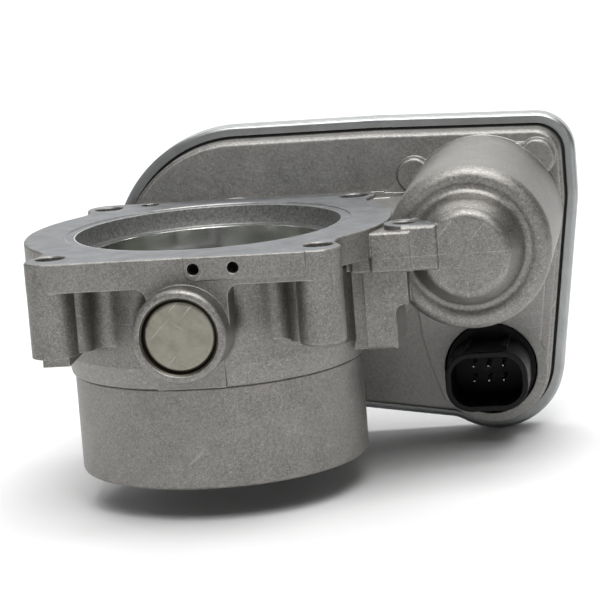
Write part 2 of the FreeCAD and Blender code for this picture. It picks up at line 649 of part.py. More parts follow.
def idler_pin():
    ix, iz = idler_centre()
    pin = cyl_y(3.0, FLOOR_Y - 2.8, 77.6, ix, iz)
    return pin.makeChamfer(0.4, pin.Edges)


def motor_pinion():
    ix, iz = idler_centre()
    towards_idler = heading_degrees(MOTOR_X, MOTOR_Z, ix, iz)
    half_gap = 180.0 / MOTOR_PINION_TEETH
    gear = toothed_disc(MOTOR_PINION_TEETH, PINION_SHIFT, towards_idler + half_gap, MOTOR_X, MOTOR_Z,
                        WHEEL_Y[0] - 1.0, WHEEL_Y[1] + 1.0)
    return gear.cut(cyl_y(2.0, 60, 90, MOTOR_X, MOTOR_Z))


def stop_tip():
    """Where the closed stop's tip meets the sector, and the direction the screw runs from there."""
    angle = math.radians(SECTOR_SPAN[1])
    radius = 28.0
    heading = (-math.sin(angle), math.cos(angle))
    gap = 0.35
    tip = (radius * math.cos(angle) + gap * heading[0], SHAFT_Z + radius * math.sin(angle) + gap * heading[1])
    return tip, heading


def screw_bar(tip, heading, r, start, stop):
    base = V(tip[0] + start * heading[0], 66.5, tip[1] + start * heading[1])
    return Part.makeCylinder(r, stop - start, base, V(heading[0], 0, heading[1]))


def closed_stop_screw():
    tip, heading = stop_tip()
    screw = screw_bar(tip, heading, 1.65, 0.0, 14.5)
    base = V(tip[0] + 14.5 * heading[0], 66.5, tip[1] + 14.5 * heading[1])
    socket = Part.makeCylinder(0.9, 2.0, base, V(-heading[0], 0, -heading[1]))
    return screw.cut(socket)


# ---------------------------------------------------------------- shaft, plate and bearings
def throttle_shaft():
    shaft = cyl_y(SHAFT_R, PLUG_SEAT_Y + 1.0, 61.5, 0, SHAFT_Z)
    ends = end_edges(shaft, PLUG_SEAT_Y + 1.0)
    shaft = shaft.makeChamfer(0.6, ends)
    shaft = shaft.fuse(tenon(0.0, 61.4, 65.0))
    slot = block(-SHAFT_R - 1, SHAFT_R + 1, -THROAT_R - 0.5, THROAT_R + 0.5, SHAFT_Z - PLATE_T / 2,
                 SHAFT_Z + PLATE_T / 2)
    slot.rotate(V(0, 0, SHAFT_Z), BACK, CLOSED_TILT)
    shaft = shaft.cut(slot)
    for y in (-15, 15):
        shaft = shaft.cut(tilted_screw_bore(y, 2.0))
        seat = cyl_z(4.0, SHAFT_Z + SHAFT_R - 0.6, SHAFT_Z + SHAFT_R + 2, 0, y)
        seat.rotate(V(0, 0, SHAFT_Z), BACK, CLOSED_TILT)
        shaft = shaft.cut(seat)
    return shaft


def tilted_screw_bore(y, r):
    bore = Part.makeCylinder(r, 14, V(0, y, SHAFT_Z - 7), UP)
    bore.rotate(V(0, 0, SHAFT_Z), BACK, CLOSED_TILT)
    return bore


def throttle_plate():
    slab = block(-60, 60, -60, 60, SHAFT_Z - PLATE_T / 2, SHAFT_Z + PLATE_T / 2)
    slab.rotate(V(0, 0, SHAFT_Z), BACK, CLOSED_TILT)
    plate = slab.common(cyl_z(PLATE_R, SHAFT_Z - 30, SHAFT_Z + 30))
    for y in (-15, 15):
        plate = plate.cut(tilted_screw_bore(y, 2.0))
    return plate


def plate_screws():
    screws = []
    for y in (-15, 15):
        top = SHAFT_Z + SHAFT_R
        shank = Part.makeCylinder(2.0, 2 * SHAFT_R + 0.4, V(0, y, SHAFT_Z - SHAFT_R - 0.4), UP)
        head = Part.makeCylinder(3.6, 2.2, V(0, y, top - 0.6), UP)
        head = head.makeFillet(1.1, level_edges(head, top + 1.6))
        half = 1.75
        recess = block(-half, half, y - half, y + half, top + 0.6, top + 2)
        screw = fuse([shank, head]).cut(recess)
        screw.rotate(V(0, 0, SHAFT_Z), BACK, CLOSED_TILT)
        screws.append(screw)
    return Part.makeCompound(screws)


def shaft_end_plug():
    face_y = BOSS_FRONT_Y + 1.7
    cup = cyl_y(PLUG_BORE_R, face_y, PLUG_SEAT_Y - 0.3, 0, SHAFT_Z)
    cup = cup.makeFillet(1.8, end_edges(cup, face_y))
    return cup.cut(cyl_y(PLUG_BORE_R - 1.3, face_y + 1.4, PLUG_SEAT_Y + 1, 0, SHAFT_Z))


def front_bearing_cup():
    cup = tube_y(NEEDLE_BORE_R, 7.1, PLUG_SEAT_Y, NEEDLE_END_Y - 0.2, 0, SHAFT_Z)
    lips = [tube_y(7.4, 5.4, y, y + 0.7, 0, SHAFT_Z) for y in (PLUG_SEAT_Y, NEEDLE_END_Y - 0.9)]
    return fuse([cup] + lips)


def front_bearing_needles():
    rollers = []
    for i in range(16):
        x, z = polar(0, SHAFT_Z, SHAFT_R + RUNNING + 1.0, 22.5 * i)
        rollers.append(cyl_y(1.0, PLUG_SEAT_Y + 1.0, NEEDLE_END_Y - 1.2, x, z))
    return Part.makeCompound(rollers)


def lip_seal(y0):
    outline = [(NEEDLE_BORE_R, y0), (NEEDLE_BORE_R, y0 + SEAL_T), (NEEDLE_BORE_R - 1.0, y0 + SEAL_T),
               (NEEDLE_BORE_R - 1.0, y0 + 1.2), (SHAFT_R + 0.9, y0 + 1.2), (SHAFT_R + 0.7, y0 + 2.9),
               (SHAFT_R + RUNNING, y0 + 2.6), (SHAFT_R + RUNNING + 0.3, y0)]
    return turned_y(outline, 0, SHAFT_Z)


def rear_bearing():
    """Ball bearing 10 x 22 x 6: outer ring, balls and inner ring."""
    y0, y1 = FLOOR_Y - REAR_BEARING_W, FLOOR_Y
    middle = (y0 + y1) / 2
    track = Part.makeTorus(8.0, 1.62, V(0, middle, SHAFT_Z), BACK)
    outer = tube_y(REAR_BEARING_R, 9.1, y0, y1, 0, SHAFT_Z).cut(track)
    inner = tube_y(6.9, SHAFT_R, y0, y1, 0, SHAFT_Z).cut(track)
    balls = []
    for i in range(9):
        x, z = polar(0, SHAFT_Z, 8.0, 40.0 * i)
        balls.append(Part.makeSphere(1.57, V(x, middle, z)))
    return outer, inner, Part.makeCompound(balls)


def return_spring():
    """Torsion spring in the pocket round the rear boss, as short lengths of wire in a rising coil."""
    mean_r = 17.0
    wire_r = 0.8
    pitch = 1.85
    turns = 4.5
    step = 18
    sections = []
    for i in range(int(turns * 360 / step) + 1):
        angle = math.radians(step * i)
        along = 52.2 + pitch * step * i / 360
        centre = V(mean_r * math.cos(angle), along, SHAFT_Z + mean_r * math.sin(angle))
        along = V(-math.sin(angle), 0, math.cos(angle))
        sections.append(Part.Wire(Part.makeCircle(wire_r, centre, along)))
    return Part.makeLoft(sections, True, False)


def spring_sleeve():
    return tube_y(15.0, 12.65, 51.2, FLOOR_Y - 0.3, 0, SHAFT_Z)


# ---------------------------------------------------------------- motor
def motor_can():
    can = cyl_y(20.9, CAN_FRONT_Y, FLOOR_Y, MOTOR_X, MOTOR_Z)
    can = can.makeFillet(1.6, end_edges(can, CAN_FRONT_Y))
    nose = cyl_y(7.6, NOSE_FRONT_Y, CAN_FRONT_Y + 0.5, MOTOR_X, MOTOR_Z)
    nose = nose.makeFillet(1.0, end_edges(nose, NOSE_FRONT_Y))
    can = can.fuse(nose)
    can = can.cut(cyl_y(19.9, CAN_FRONT_Y + 1.0, FLOOR_Y + 1, MOTOR_X, MOTOR_Z))
    return can.cut(cyl_y(6.6, NOSE_FRONT_Y + 1.0, CAN_FRONT_Y + 2, MOTOR_X, MOTOR_Z))


def motor_magnets():
    ring = tube_y(19.9, 16.9, 4.0, 42.0, MOTOR_X, MOTOR_Z)
    gap = block(MOTOR_X - 5, MOTOR_X + 5, 0, 50, MOTOR_Z - 30, MOTOR_Z + 30)
    return ring.cut(gap)


def motor_bush(y0, y1, r):
    return tube_y(r, 2.0 + RUNNING, y0, y1, MOTOR_X, MOTOR_Z)


def motor_shaft():
    return cyl_y(2.0, NOSE_FRONT_Y + 1.5, WHEEL_Y[1] + 1.6, MOTOR_X, MOTOR_Z)


def motor_armature():
    core = cyl_y(16.3, 7.0, 39.0, MOTOR_X, MOTOR_Z)
    core = core.cut(cyl_y(2.0, 0, 50, MOTOR_X, MOTOR_Z))
    for i in range(10):
        slot = fuse([block(MOTOR_X + 8.0, MOTOR_X + 17.0, 6, 40, MOTOR_Z - 0.7, MOTOR_Z + 0.7),
                     block(MOTOR_X + 8.0, MOTOR_X + 14.4, 6, 40, MOTOR_Z - 1.9, MOTOR_Z + 1.9)])
        slot.rotate(V(MOTOR_X, 0, MOTOR_Z), BACK, 36.0 * i)
        core = core.cut(slot)
    return core


def motor_windings():
    """Copper in the armature's slots, joined by a ring of end turns at each end."""
    ends = [tube_y(14.0, 6.4, 3.4, 7.0, MOTOR_X, MOTOR_Z), tube_y(14.0, 6.4, 39.0, 42.6, MOTOR_X, MOTOR_Z)]
    ends = [e.makeFillet(1.4, [k for k in e.Edges if k.BoundBox.YLength < 0.01]) for e in ends]
    coils = []
    for i in range(10):
        bar = block(MOTOR_X + 8.3, MOTOR_X + 13.6, 6.0, 40.0, MOTOR_Z - 1.6, MOTOR_Z + 1.6)
        bar.rotate(V(MOTOR_X, 0, MOTOR_Z), BACK, 36.0 * i)
        coils.append(bar)
    return fuse(ends + coils)


def motor_commutator():
    drum = tube_y(6.2, 2.0, 43.4, 53.5, MOTOR_X, MOTOR_Z)
    for i in range(10):
        slit = block(MOTOR_X + 5.2, MOTOR_X + 7.0, 42, 55, MOTOR_Z - 0.25, MOTOR_Z + 0.25)
        slit.rotate(V(MOTOR_X, 0, MOTOR_Z), BACK, 36.0 * i)
        drum = drum.cut(slit)
    return drum


def motor_end_cap():
    cap = cyl_y(19.85, 55.0, FLOOR_Y, MOTOR_X, MOTOR_Z)
    cap = cap.cut(cyl_y(5.0, 50, 70, MOTOR_X, MOTOR_Z))
    guides = []
    for side in (-1, 1):
        near, far = sorted((MOTOR_X + side * 7.2, MOTOR_X + side * 15.0))
        guides.append(block(near, far, 45.0, 55.5, MOTOR_Z - 3.6, MOTOR_Z + 3.6))
    cap = fuse([cap] + guides)
    for brush in brush_blocks(0.1):
        cap = cap.cut(brush)
    for x, z in contact_places():
        cap = cap.cut(block(x - 1.6, x + 1.6, 54, 62, z - 0.4, z + 0.4))
    return cap


def brush_blocks(play):
    blocks = []
    for side in (-1, 1):
        near, far = sorted((MOTOR_X + side * 6.4, MOTOR_X + side * 13.0))
        blocks.append(block(near, far, 46.0 - play, 51.0 + play, MOTOR_Z - 2.2 - play, MOTOR_Z + 2.2 + play))
    return blocks


def contact_places():
    return [(83.0, -26.0), (91.0, -23.5)]


def motor_contacts():
    blades = [block(x - 1.5, x + 1.5, 56.0, 73.0, z - 0.3, z + 0.3) for x, z in contact_places()]
    return Part.makeCompound(blades)


def motor_plate():
    y0, y1 = FLOOR_Y, FLOOR_Y + 1.6
    plate = fuse([cyl_y(21.8, y0, y1, MOTOR_X, MOTOR_Z),
                  hull_y(59.5, 3.2, 4.6, MOTOR_X, MOTOR_Z, 10.0, y0, y1),
                  hull_y(98.3, 7.2, 4.6, MOTOR_X, MOTOR_Z, 10.0, y0, y1)])
    plate = plate.cut(cyl_y(5.0, 50, 70, MOTOR_X, MOTOR_Z))
    plate = plate.cut(block(80.8, 93.2, 50, 70, -28.5, -21.5))
    for x, z in ((59.5, 3.2), (98.3, 7.2)):
        plate = plate.cut(cyl_y(2.0, 50, 70, x, z))
    return plate


def motor_screws():
    screws = []
    for x, z in ((59.5, 3.2), (98.3, 7.2)):
        top = FLOOR_Y + 1.6
        head = cyl_y(3.3, top, top + 2.4, x, z)
        head = head.makeFillet(0.8, end_edges(head, top + 2.4))
        shank = cyl_y(1.7, 55.4, top + 0.5, x, z)
        corners = [math.radians(60 * i) for i in range(6)]
        recess = [(x + 1.5 * math.cos(a), z + 1.5 * math.sin(a)) for a in corners]
        screws.append(fuse([head, shank]).cut(prism_y(recess, top + 1.0, top + 3)))
    return Part.makeCompound(screws)


def motor_spring_washer():
    y = MOTOR_BORE_Y
    return turned_y([(11.0, y + 1.7), (19.0, y), (19.0, y + 0.7), (11.0, y + 2.4)], MOTOR_X, MOTOR_Z)


# ---------------------------------------------------------------- connector and sensor
def oval(half_w, half_h, corner, y0, y1):
    bar = block(CONN_X - half_w, CONN_X + half_w, y0, y1, CONN_Z - half_h, CONN_Z + half_h)
    along = [e for e in bar.Edges if e.BoundBox.YLength > 1]
    return bar.makeFillet(corner, along)


def pin_places():
    places = [(i, j) for j in (0, 1) for i in (-1, 0, 1)]
    return [(CONN_X - 0.3 + PIN_PITCH_X * i, CONN_Z + PIN_PITCH_Z * (j - 0.5)) for i, j in places]


def connector_housing():
    base_front = 56.0
    shell = oval(CONN_HALF_W, CONN_HALF_H, CONN_CORNER_R, CONN_FRONT_Y, base_front + 1)
    shell = shell.makeFillet(0.5, end_edges(shell, CONN_FRONT_Y))
    neck = cyl_y(CONN_HOLE_R - 0.5, base_front, FLOOR_Y + 0.1, CONN_X, CONN_Z)
    base = cyl_y(15.7, FLOOR_Y + 0.1, FLOOR_Y + 3.6, CONN_X, CONN_Z)
    tower = block(CONN_X - 8.0, CONN_X + 8.0, FLOOR_Y + 3, 70.4, CONN_Z - 4.5, CONN_Z + 4.5)
    ribs = []
    for side in (-1, 1):
        ribs.append(block(CONN_X + side * 6.0 - 0.8, CONN_X + side * 6.0 + 0.8, CONN_FRONT_Y + 5.0, base_front,
                          CONN_Z + CONN_HALF_H - 0.6, CONN_Z + CONN_HALF_H + 0.9))
    body = fuse([shell, neck, base, tower] + ribs)
    inside = oval(CONN_HALF_W - CONN_WALL, CONN_HALF_H - CONN_WALL, CONN_CORNER_R - CONN_WALL,
                  CONN_FRONT_Y - 1, base_front - 0.5)
    body = body.cut(inside)
    body = body.cut(tube_y(CONN_HOLE_R, 13.4, 58.0, 59.8, CONN_X, CONN_Z))
    for x, z in pin_places():
        half = PIN_SIDE / 2
        body = body.cut(block(x - half, x + half, 50, 75, z - half, z + half))
    return body


def connector_pins():
    half = PIN_SIDE / 2
    pins = []
    for x, z in pin_places():
        pin = block(x - half, x + half, PIN_TIP_Y, 72.0, z - half, z + half)
        pins.append(pin.makeChamfer(0.3, end_edges(pin, PIN_TIP_Y)))
    return Part.makeCompound(pins)


def connector_seal():
    return Part.makeTorus(CONN_HOLE_R - 0.82, 0.8, V(CONN_X, 58.9, CONN_Z), BACK)


def lead_frame_carrier():
    y0, y1 = 70.4, 72.0
    pad = cyl_y(12.5, y0, y1, CONN_X, CONN_Z)
    band = prism_y([(76.0, -70.5), (76.0, -60.2), (5.0, -52.5), (-9.0, -52.0), (-9.0, -60.0)], y0, y1)
    riser = block(-9.0, 6.0, y0, y1, -59.0, -38.0)
    branch = block(80.0, 94.5, y0, y1, -55.0, -21.5)
    carrier = fuse([pad, band, riser, branch])
    half = PIN_SIDE / 2
    for x, z in pin_places():
        carrier = carrier.cut(block(x - half, x + half, 60, 75, z - half, z + half))
    for x, z in contact_places():
        carrier = carrier.cut(block(x - 1.6, x + 1.6, 60, 75, z - 0.4, z + 0.4))
    return carrier


def flat_run(points, width, y0, y1):
    """A flat strip that follows (x, z) points with square corners."""
    half = width / 2
    pieces = []
    for (x0, z0), (x1, z1) in zip(points, points[1:]):
        pieces.append(hull_y(x0, z0, half, x1, z1, half, y0, y1))
    return fuse(pieces)


def lead_frame_strips():
    places = pin_places()
    strips = []
    y0, y1 = 72.0, 72.4
    lane = 1.7
    for i in range(3):
        x, z = places[i]
        low = -69.0 + lane * i
        up = -6.5 + 4.0 * i
        strips.append(flat_run([(x, z), (x - 2.0 - i, low), (up, low + 10.6), (up, -45.0)], 0.9, y0, y1))
    x, z = places[3]
    strips.append(flat_run([(x, z), (x - 5.5, z - 2.6), (5.2, -54.2), (5.2, -45.0)], 0.9, y0, y1))
    for (x, z), (cx, cz) in zip(places[4:], contact_places()):
        route = [(x, z), (cx + 1.0, z + 5.0), (cx + 1.0, cz - 3.0), (cx, cz - 0.9)]
        strips.append(flat_run(route, 0.9, y0, y1))
    return Part.makeCompound(strips)


def sensor_board():
    board = block(-22.0, 6.5, 72.0, 73.6, -43.8, -4.0)
    for x, z in board_pegs():
        board = board.cut(cyl_y(1.1, 70, 75, x, z))
    return board


def board_pegs():
    return [(-19.0, -40.5), (-19.0, -7.5), (3.5, -7.5)]


def sensor_chips():
    return Part.makeCompound([block(-2.6, 2.6, 67.5, 72.0, SHAFT_Z - 1.6, SHAFT_Z + 1.6),
                              block(-17.0, -11.0, 73.6, 75.2, -30.0, -24.0),
                              block(-15.0, -12.0, 73.6, 74.6, -19.0, -17.4),
                              block(-15.0, -12.0, 73.6, 74.6, -15.0, -13.4),
                              block(-4.0, -1.0, 73.6, 74.6, -37.0, -35.4)])


# ---------------------------------------------------------------- lid
def gear_cover():
    rim = case_prism(LID_PROUD, LID_LIP_Y, LID_RIM_Y)
    rim = rim.makeFillet(2.6, end_edges(rim, LID_RIM_Y))
    rim = rim.makeFillet(1.3, end_edges(rim, LID_LIP_Y))
    panel = case_prism(-PANEL_INSET, LID_RIM_Y - 1, LID_PANEL_Y)
    panel = panel.makeFillet(2.4, end_edges(panel, LID_PANEL_Y))
    lid = fuse([rim, panel])
    lid = lid.cut(case_prism(0, LID_LIP_Y - 1, CASE_END_Y + 0.4))
    lid = lid.cut(case_prism(-PANEL_INSET - 2.0, CASE_END_Y, LID_PANEL_Y - LID_T))
    ix, iz = idler_centre()
    boss = tube_y(6.0, 3.05, WHEEL_Y[1] + 0.7, LID_PANEL_Y - LID_T + 0.5, ix, iz)
    pegs = []
    for x, z in board_pegs():
        pegs.append(cyl_y(2.2, 73.6, LID_PANEL_Y - LID_T + 0.5, x, z))
        pegs.append(cyl_y(1.05, 71.4, 74.0, x, z))
    return fuse([lid, boss] + pegs)


def cover_seal():
    side = case_prism(0, LID_LIP_Y + 0.5, CASE_END_Y)
    side = side.cut(case_prism(-SEAL_GAP, LID_LIP_Y - 1, CASE_END_Y + 1))
    top = case_prism(0, CASE_END_Y, CASE_END_Y + 0.4).cut(case_prism(-WALL, CASE_END_Y - 1, CASE_END_Y + 1))
    return fuse([side, top])


# ---------------------------------------------------------------- write the nodes
def save(name, shape):
    shape.exportStep("parts/%s.step" % name)
    report = (name, len(shape.Solids), shape.isValid(), shape.Volume)
    print("%-24s solids %2d  valid %s  volume %.0f" % report)


def main():
    os.makedirs("parts", exist_ok=True)
    outer, inner, balls = rear_bearing()
    nodes = {
        "housing": housing(),
        "gear_cover": gear_cover(),
        "cover_seal": cover_seal(),
        "shaft_end_plug": shaft_end_plug(),
        "front_bearing_cup": front_bearing_cup(),
        "front_bearing_needles": front_bearing_needles(),
        "front_shaft_seal": lip_seal(NEEDLE_END_Y),
        "rear_shaft_seal": lip_seal(REAR_SEAL_Y),
        "rear_bearing_outer_ring": outer,
        "rear_bearing_balls": balls,
        "rear_bearing_inner_ring": inner,
        "return_spring": return_spring(),
        "spring_sleeve": spring_sleeve(),
        "throttle_shaft": throttle_shaft(),
        "throttle_plate": throttle_plate(),
        "plate_screws": plate_screws(),
        "sector_gear": sector_gear(),
        "sector_gear_insert": sector_gear_insert(),
        "sensor_magnet": sensor_magnet(),
        "idler_gear": idler_gear(),
        "idler_pin": idler_pin(),
        "closed_stop_screw": closed_stop_screw(),
        "motor_can": motor_can(),
        "motor_magnets": motor_magnets(),
        "motor_front_bush": motor_bush(NOSE_FRONT_Y + 1.1, CAN_FRONT_Y - 2.1, 6.6),
        "motor_rear_bush": motor_bush(57.5, 62.5, 5.0),
        "motor_shaft": motor_shaft(),
        "motor_armature": motor_armature(),
        "motor_windings": motor_windings(),
        "motor_commutator": motor_commutator(),
        "motor_pinion": motor_pinion(),
        "motor_end_cap": motor_end_cap(),
        "motor_brushes": Part.makeCompound(brush_blocks(0.0)),
        "motor_contacts": motor_contacts(),
        "motor_plate": motor_plate(),
        "motor_screws": motor_screws(),
        "motor_spring_washer": motor_spring_washer(),
        "connector_housing": connector_housing(),
        "connector_pins": connector_pins(),
        "connector_seal": connector_seal(),
        "lead_frame_carrier": lead_frame_carrier(),
        "lead_frame_strips": lead_frame_strips(),
        "sensor_board": sensor_board(),
        "sensor_chips": sensor_chips(),
    }
    for name, shape in nodes.items():
        save(name, shape)


main()
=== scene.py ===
import json
import math

import bpy
from mathutils import Matrix, Vector


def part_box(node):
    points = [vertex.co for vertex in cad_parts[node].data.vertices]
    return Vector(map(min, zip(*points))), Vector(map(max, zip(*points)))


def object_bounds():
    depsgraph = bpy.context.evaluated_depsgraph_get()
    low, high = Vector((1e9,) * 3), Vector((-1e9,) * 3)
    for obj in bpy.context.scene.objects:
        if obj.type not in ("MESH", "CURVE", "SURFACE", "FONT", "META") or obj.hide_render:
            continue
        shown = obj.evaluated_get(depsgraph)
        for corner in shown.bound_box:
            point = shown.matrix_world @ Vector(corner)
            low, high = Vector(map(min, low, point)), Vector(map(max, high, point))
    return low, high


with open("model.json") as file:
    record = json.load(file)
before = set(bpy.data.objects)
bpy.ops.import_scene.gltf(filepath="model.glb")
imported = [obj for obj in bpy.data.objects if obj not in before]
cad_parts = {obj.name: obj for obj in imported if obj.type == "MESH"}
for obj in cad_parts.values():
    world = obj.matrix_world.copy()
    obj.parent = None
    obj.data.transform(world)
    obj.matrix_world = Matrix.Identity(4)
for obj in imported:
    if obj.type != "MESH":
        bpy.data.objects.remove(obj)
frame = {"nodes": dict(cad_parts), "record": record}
cad_low, cad_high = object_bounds()

# ---------------------------------------------------------------- camera
AZIMUTH = 0.143866            # radians, towards -X of straight along +Y
ELEVATION = 0.180576
ROLL = -0.077408
LENS = 182.3                  # millimetres on a 36 mm sensor
CAMERA_PLACE = Vector((0.158703, -0.910713, 0.143284))

# ---------------------------------------------------------------- places, in metres
plug_low, plug_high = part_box("shaft_end_plug")
can_low, can_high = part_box("motor_can")
SHAFT_Z = (plug_low.z + plug_high.z) / 2
PLUG_R = (plug_high.x - plug_low.x) / 2
MOTOR_X = (can_low.x + can_high.x) / 2
MOTOR_Z = (can_low.z + can_high.z) / 2
THROAT_R = 0.0370             # the air passage
REGISTER_R = 0.0410           # the counterbore at its mouth
BARREL_R = 0.0470
SEAT_FRONT_Y = -0.0560        # the plug's seat lies in front of this
WALL_Y = 0.0200               # the gear case's front wall lies behind this
THROAT_EDGE = THROAT_R + 0.0004
REGISTER_EDGE = REGISTER_R + 0.0003
PLUG_EDGE = PLUG_R + 0.0005
FACE_DEPTH = 0.0004           # how far from the flange's face a surface still counts as part of it
FACING_LIMIT = 0.9            # a surface this square to an axis faces along it
MARKS_PER_METRE = 9000.0      # radians of turning marks in each metre of radius

# Parting lines: where they lie, and how far along X they run to each side of their middle
LINE_HALF = 0.00012
ARM_LINE_Z = -0.0093
ARM_LINE_X = 0.0725
ARM_LINE_REACH = 0.0220
ARM_LINE_BACK_Y = -0.0130
DISC_LINE_TOP_Z = MOTOR_Z - 0.0080
DISC_LINE_BACK_Y = -0.0180
POCKET_LINE_Z = SHAFT_Z + 0.0005
POCKET_LINE_X = -0.0230
POCKET_LINE_REACH = 0.0110

# ---------------------------------------------------------------- tones of the casting
SKIN_DARK = (0.154, 0.149, 0.140)
SKIN_LIGHT = (0.350, 0.339, 0.320)
FLECK_DARK = (0.080, 0.078, 0.072)
FLECK_LIGHT = (0.56, 0.56, 0.55)
STAIN = (0.19, 0.185, 0.17)
BARE = (0.60, 0.60, 0.59)                 # metal laid open by a scratch or a worn parting line
WORN_SKIN = (0.58, 0.58, 0.575)
# painted light: a pale tone mixed into the case's front wall, which the lamps leave too dark
PAINTED_LIGHT_ON_WALL = (0.62, 0.62, 0.615)           # added to match the photo's brightness on the case's front wall
PAINTED_LIGHT_ON_WALL_SHARE = 0.22
FACE_DARK = (0.17, 0.177, 0.185)
FACE_LIGHT = (0.26, 0.269, 0.28)
WORN_FACE = (0.60, 0.60, 0.60)
BAND_DARK = (0.19, 0.19, 0.186)
BAND_LIGHT = (0.40, 0.40, 0.392)
LEDGE = (0.66, 0.66, 0.65)
THROAT_DARK = (0.58, 0.59, 0.56)
THROAT_LIGHT = (0.72, 0.73, 0.70)
# painted shade: the dark brown ring in the gap between the cup plug and its bore
PAINTED_GAP_SHADE = (0.10, 0.092, 0.075)


# ---------------------------------------------------------------- node helpers
class Graph:
    """A material's node tree, with short calls for the nodes used here."""

    def __init__(self, name):
        self.material = bpy.data.materials.new(name)
        self.material.use_nodes = True
        self.tree = self.material.node_tree
        self.shader = self.tree.nodes["Principled BSDF"]
        self.place = self.add("ShaderNodeTexCoord").outputs["Object"]

    def add(self, kind, **settings):
        """A new node of that kind, with its settings."""
        node = self.tree.nodes.new(kind)
        for key, value in settings.items():
            setattr(node, key, value)
        return node

    def put(self, value, socket):
        """Links an output to a socket, or sets the socket's own value."""
        if isinstance(value, bpy.types.NodeSocket):
            self.tree.links.new(value, socket)
        else:
            socket.default_value = value

    def math(self, operation, a, b=0.0, c=0.0):
        """One sum on up to three numbers or outputs."""
        node = self.add("ShaderNodeMath", operation=operation)
        for value, socket in zip((a, b, c), node.inputs):
            self.put(value, socket)
        return node.outputs[0]

    def scaled(self, factors):
        """The object's own coordinates, stretched by a factor along each axis."""
        node = self.add("ShaderNodeVectorMath", operation="MULTIPLY")
        self.put(self.place, node.inputs[0])
        node.inputs[1].default_value = factors
        return node.outputs[0]

    def noise(self, scale, detail=3.0, rough=0.5, where=None):
        """Clouds of noise, at the object's own coordinates unless others are given."""
        node = self.add("ShaderNodeTexNoise")
        self.put(where or self.place, node.inputs["Vector"])
        node.inputs["Scale"].default_value = scale
        node.inputs["Detail"].default_value = detail
        node.inputs["Roughness"].default_value = rough
        return node.outputs[0]

    def between(self, value, low, high, from_low=0.0, from_high=1.0):
        """The value remapped from one range to another, and held at its ends."""
        node = self.add("ShaderNodeMapRange")
        self.put(value, node.inputs["Value"])
        node.inputs["From Min"].default_value = from_low
        node.inputs["From Max"].default_value = from_high
        node.inputs["To Min"].default_value = low
        node.inputs["To Max"].default_value = high
        return node.outputs[0]

    def blend(self, factor, first, second):
        """A colour between two colours, each an output or three numbers."""
        node = self.add("ShaderNodeMix", data_type="RGBA")
        self.put(factor, node.inputs[0])
        for value, socket in ((first, node.inputs[6]), (second, node.inputs[7])):
            self.put(value if isinstance(value, bpy.types.NodeSocket) else (*value, 1.0), socket)
        return node.outputs[2]

    def mix(self, factor, first, second):
        """A number between two numbers."""
        node = self.add("ShaderNodeMix", data_type="FLOAT")
        for value, socket in zip((factor, first, second), node.inputs[:1] + node.inputs[2:4]):
            self.put(value, socket)
        return node.outputs[0]

    def axis(self, index):
        """One of the object's own coordinates."""
        node = self.add("ShaderNodeSeparateXYZ")
        self.put(self.place, node.inputs[0])
        return node.outputs[index]

    def facing(self, index):
        """One axis of the surface's own direction."""
        node = self.add("ShaderNodeSeparateXYZ")
        self.put(self.add("ShaderNodeNewGeometry").outputs["True Normal"], node.inputs[0])
        return node.outputs[index]

    def bump(self, height, distance, strength=1.0, under=None):
        """Surface directions raised by a height, over the directions under it."""
        node = self.add("ShaderNodeBump")
        self.put(height, node.inputs["Height"])
        node.inputs["Distance"].default_value = distance
        self.put(strength, node.inputs["Strength"])
        if under is not None:
            self.put(under, node.inputs["Normal"])
        return node.outputs[0]

    def mix_vector(self, factor, first, second):
        """A direction between two directions."""
        node = self.add("ShaderNodeMix", data_type="VECTOR")
        for value, socket in zip((factor, first, second), (node.inputs[0], node.inputs[4], node.inputs[5])):
            self.put(value, socket)
        return node.outputs[1]

    def edges(self, size, flat_from=0.99, sharp_from=0.86):
        """A mask of the sharp edges, and surface directions rounded across them."""
        soft = self.add("ShaderNodeBevel", samples=6)
        soft.inputs["Radius"].default_value = size
        flat = self.add("ShaderNodeNewGeometry").outputs["Normal"]
        turn = self.add("ShaderNodeVectorMath", operation="DOT_PRODUCT")
        self.put(soft.outputs[0], turn.inputs[0])
        self.put(flat, turn.inputs[1])
        return self.between(turn.outputs["Value"], 1.0, 0.0, sharp_from, flat_from), soft.outputs[0]

    def turned_scale(self, angle, factors):
        """The object's own coordinates, turned about Y and then stretched."""
        node = self.add("ShaderNodeMapping", vector_type="TEXTURE")
        self.put(self.place, node.inputs["Vector"])
        node.inputs["Rotation"].default_value = (0.0, angle, 0.0)
        node.inputs["Scale"].default_value = [1.0 / factor for factor in factors]
        return node.outputs[0]

    def finish(self, colour=None, roughness=None, metallic=None, normal=None):
        """Puts what is given on the shader and returns the material."""
        pairs = {"Base Color": colour, "Roughness": roughness, "Metallic": metallic, "Normal": normal}
        for key, value in pairs.items():
            if value is None:
                continue
            if key == "Base Color" and not isinstance(value, bpy.types.NodeSocket):
                value = (*value, 1.0)
            self.put(value, self.shader.inputs[key])
        return self.material


# ---------------------------------------------------------------- materials
def all_of(g, *masks):
    """A mask that is 1 only where every given mask is."""
    whole = masks[0]
    for mask in masks[1:]:
        whole = g.math("MULTIPLY", whole, mask)
    return whole


def above(g, value, limit):
    """A mask that is 1 where the value is over the limit."""
    return g.math("GREATER_THAN", value, limit)


def below(g, value, limit):
    """A mask that is 1 where the value is under the limit."""
    return g.math("LESS_THAN", value, limit)


def near(g, value, middle, half):
    """A mask that is 1 within a half width of the middle."""
    return g.math("COMPARE", value, middle, half)


def distance(g, a, b, a0, b0):
    """How far a place is from the line that runs through (a0, b0) along the third axis."""
    da = g.math("POWER", g.math("ABSOLUTE", g.math("SUBTRACT", a, a0)), 2.0)
    db = g.math("POWER", g.math("ABSOLUTE", g.math("SUBTRACT", b, b0)), 2.0)
    return g.math("SQRT", g.math("ADD", da, db))


